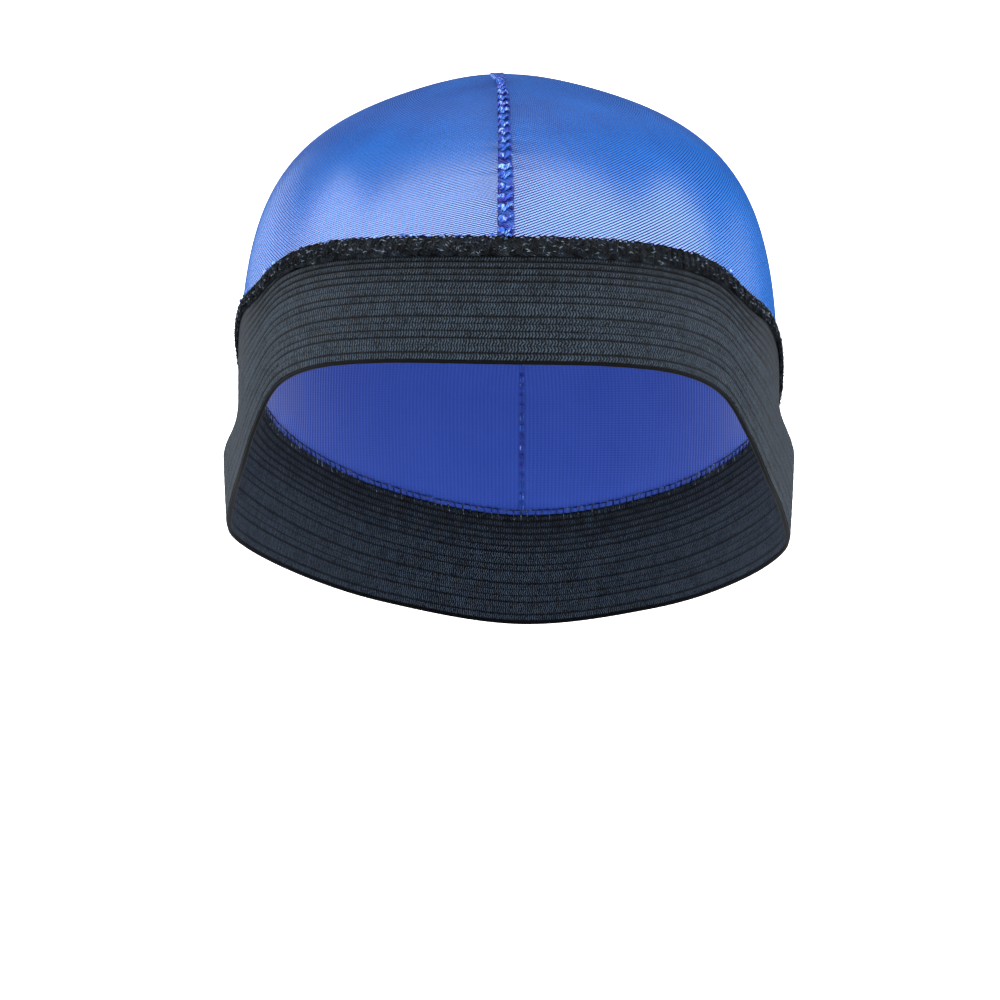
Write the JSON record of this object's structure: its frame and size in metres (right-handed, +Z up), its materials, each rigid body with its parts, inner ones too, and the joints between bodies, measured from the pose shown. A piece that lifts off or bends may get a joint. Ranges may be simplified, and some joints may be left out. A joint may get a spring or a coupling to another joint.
{
  "type": "wave cap",
  "caption": "Close-fitting wave cap: satin crown in two panels with a raised centre seam, and a wide ribbed elastic band from forehead to nape.",
  "frame": {"origin": "middle of the head opening, on the cap's centre line and at mid height of the slanted rim, where a head sits in it", "axes": "+Z up through the crown, -Y the front with the forehead band, +X to the viewer's right when the front is seen"},
  "size_m": [0.1624, 0.1991, 0.1592],
  "materials": {
    "crown_satin": "blue stretch satin knit with a broad soft sheen",
    "seam_thread": "blue and violet overlocked filament thread",
    "band_elastic": "matt charcoal ribbed knit elastic",
    "overlock_thread": "black overlock thread with small glints"
  },
  "bodies": {
    "root": {"crown_panel_left": "crown_satin", "crown_panel_right": "crown_satin", "crown_seam": "seam_thread", "elastic_band": "band_elastic", "band_overlock": "overlock_thread"}
  },
  "joints": []
}
